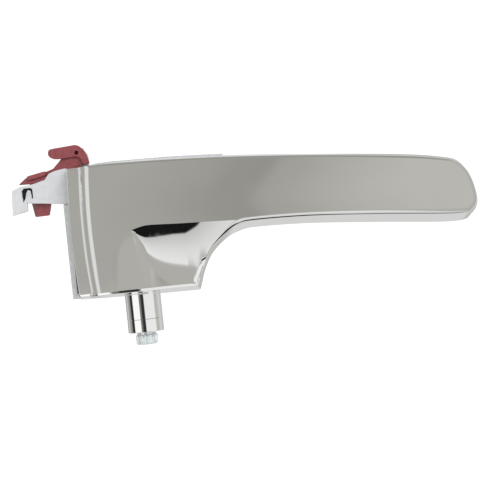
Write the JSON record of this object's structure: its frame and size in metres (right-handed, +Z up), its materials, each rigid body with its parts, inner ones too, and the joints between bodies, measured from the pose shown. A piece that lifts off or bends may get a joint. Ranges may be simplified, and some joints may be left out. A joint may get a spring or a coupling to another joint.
{
  "type": "car door handle",
  "caption": "Inside door release lever with a chromed hub and grip on an upright knurled pin, a slotted cable arm and a swing-open retaining clip.",
  "frame": {"origin": "on the pivot pin's axis, at the shoulder that the boss collar stands on", "axes": "+Z up along the pivot pin, +X towards the grip's tip, the passenger's side looks along -Y"},
  "size_m": [0.1495, 0.0203, 0.0664],
  "materials": {
    "chrome_plate": "bright decorative chrome plating",
    "satin_zinc": "light grey satin zinc plating",
    "bright_zinc": "bright blue-passivated zinc plating",
    "galvanised_steel": "galvanised sheet",
    "spring_steel": "oiled spring wire",
    "dark_plastic": "fine-grained black moulding",
    "red_plastic": "semi-matt brownish red moulding",
    "white_nylon": "natural nylon",
    "rubber": "matt black rubber"
  },
  "bodies": {
    "pivot": {"pivot_pin": "bright_zinc", "boss_collar": "chrome_plate", "spring_anchor": "bright_zinc", "anchor_set_screw": "spring_steel", "return_spring": "spring_steel", "lower_thrust_washer": "white_nylon", "upper_thrust_washer": "white_nylon", "retaining_ring": "spring_steel"},
    "lever": {"handle_shell": "chrome_plate", "grip_back_cover": "dark_plastic", "grip_stiffener": "galvanised_steel", "rear_carrier": "satin_zinc", "cable_arm": "satin_zinc", "cable_liner": "rubber", "clip_hinge_pin": "bright_zinc", "lower_bush": "white_nylon", "upper_bush": "white_nylon", "cover_screw_1": "bright_zinc", "cover_screw_2": "bright_zinc", "cover_screw_3": "bright_zinc", "carrier_screw_1": "bright_zinc", "carrier_screw_2": "bright_zinc", "carrier_screw_3": "bright_zinc", "carrier_screw_4": "bright_zinc", "arm_rivet_1": "bright_zinc", "arm_rivet_2": "bright_zinc", "stop_bumper_1": "rubber", "stop_bumper_2": "rubber"},
    "clip": {"cable_clip": "red_plastic"}
  },
  "joints": [
    {"name": "lever_pivot", "type": "hinge", "parent": "pivot", "child": "lever", "pos_m": [0, 0, 0], "axis": [0, 0, -1], "range_deg": [0, 42], "stiffness_Nm_per_rad": 0.25, "springref_deg": -28.65, "deforming": ["return_spring"]},
    {"name": "clip_hinge", "type": "hinge", "parent": "lever", "child": "clip", "pos_m": [-0.0167, 0.0044, 0.059], "axis": [0, 1, 0], "range_deg": [0, 65]}
  ]
}
